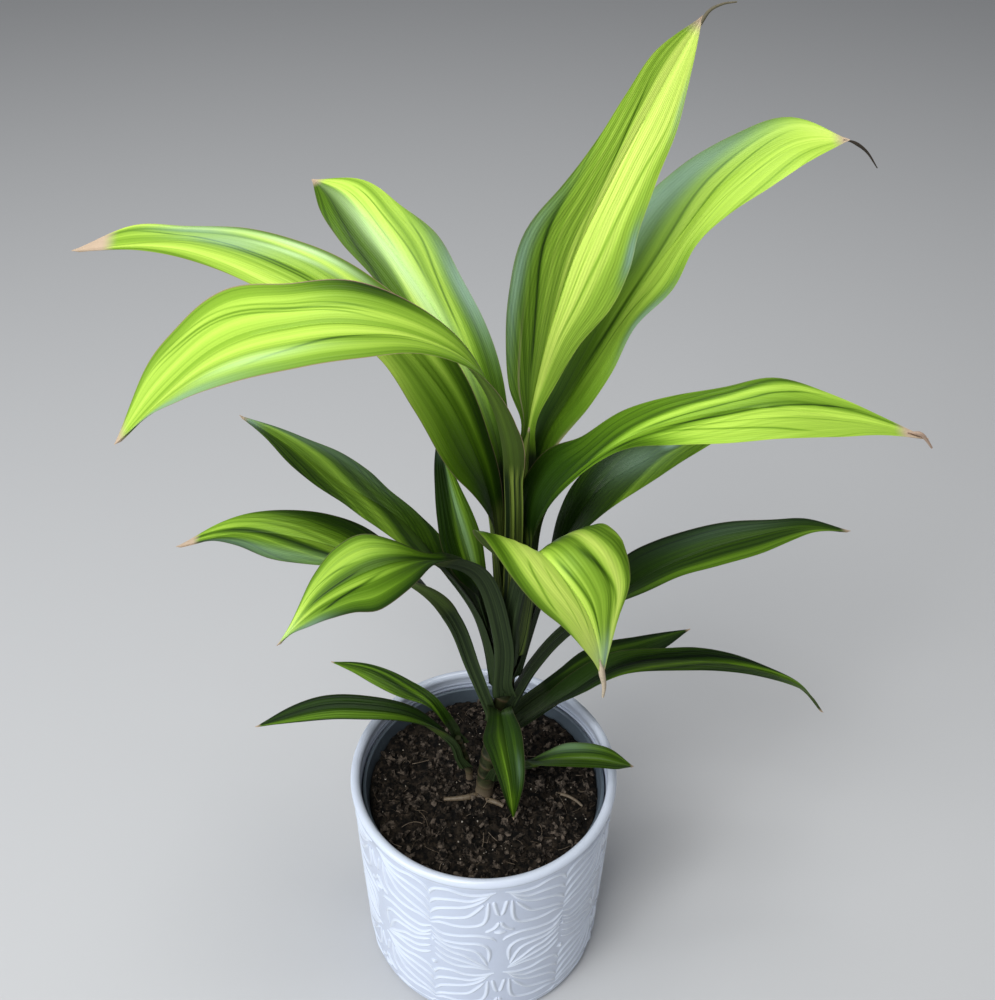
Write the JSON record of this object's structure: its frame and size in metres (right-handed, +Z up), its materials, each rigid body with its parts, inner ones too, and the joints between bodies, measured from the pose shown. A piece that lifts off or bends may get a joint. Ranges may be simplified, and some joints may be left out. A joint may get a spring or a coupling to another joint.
{
  "type": "potted cordyline",
  "caption": "House plant with long striped green and yellow leaves on a thin upright cane, with a small side shoot, in soil in a plastic pot set inside a round white glazed cover pot.",
  "frame": {"origin": "centre of the cover pot's flat underside", "axes": "+Z up; +X to the right and -Y towards the viewer of the front view"},
  "size_m": [0.3363, 0.1715, 0.4763],
  "materials": {
    "glaze": "gloss",
    "pot_plastic": "satin",
    "earth": "matte",
    "bark": "matte",
    "leaf_bright": "satin",
    "leaf_dark": "satin"
  },
  "bodies": {
    "root": {"cover_pot": "glaze", "nursery_pot": "pot_plastic", "soil": "earth", "cane": "bark", "side_shoot": "bark", "leaf_top": "leaf_bright", "leaf_upper_right": "leaf_bright", "leaf_back_left": "leaf_bright", "leaf_far_left": "leaf_bright", "leaf_front_left": "leaf_bright", "leaf_right": "leaf_bright", "leaf_front": "leaf_bright", "leaf_spear": "leaf_bright", "leaf_left_front": "leaf_bright", "leaf_inner_left": "leaf_dark", "leaf_right_rear": "leaf_dark", "leaf_left_middle": "leaf_dark", "leaf_left_low": "leaf_dark", "leaf_right_middle": "leaf_dark", "leaf_right_low": "leaf_dark", "leaf_rear_low": "leaf_dark", "leaf_over_soil": "leaf_dark", "leaf_low_right": "leaf_dark", "shoot_leaf_upper": "leaf_dark", "shoot_leaf_lower": "leaf_dark"}
  },
  "joints": []
}
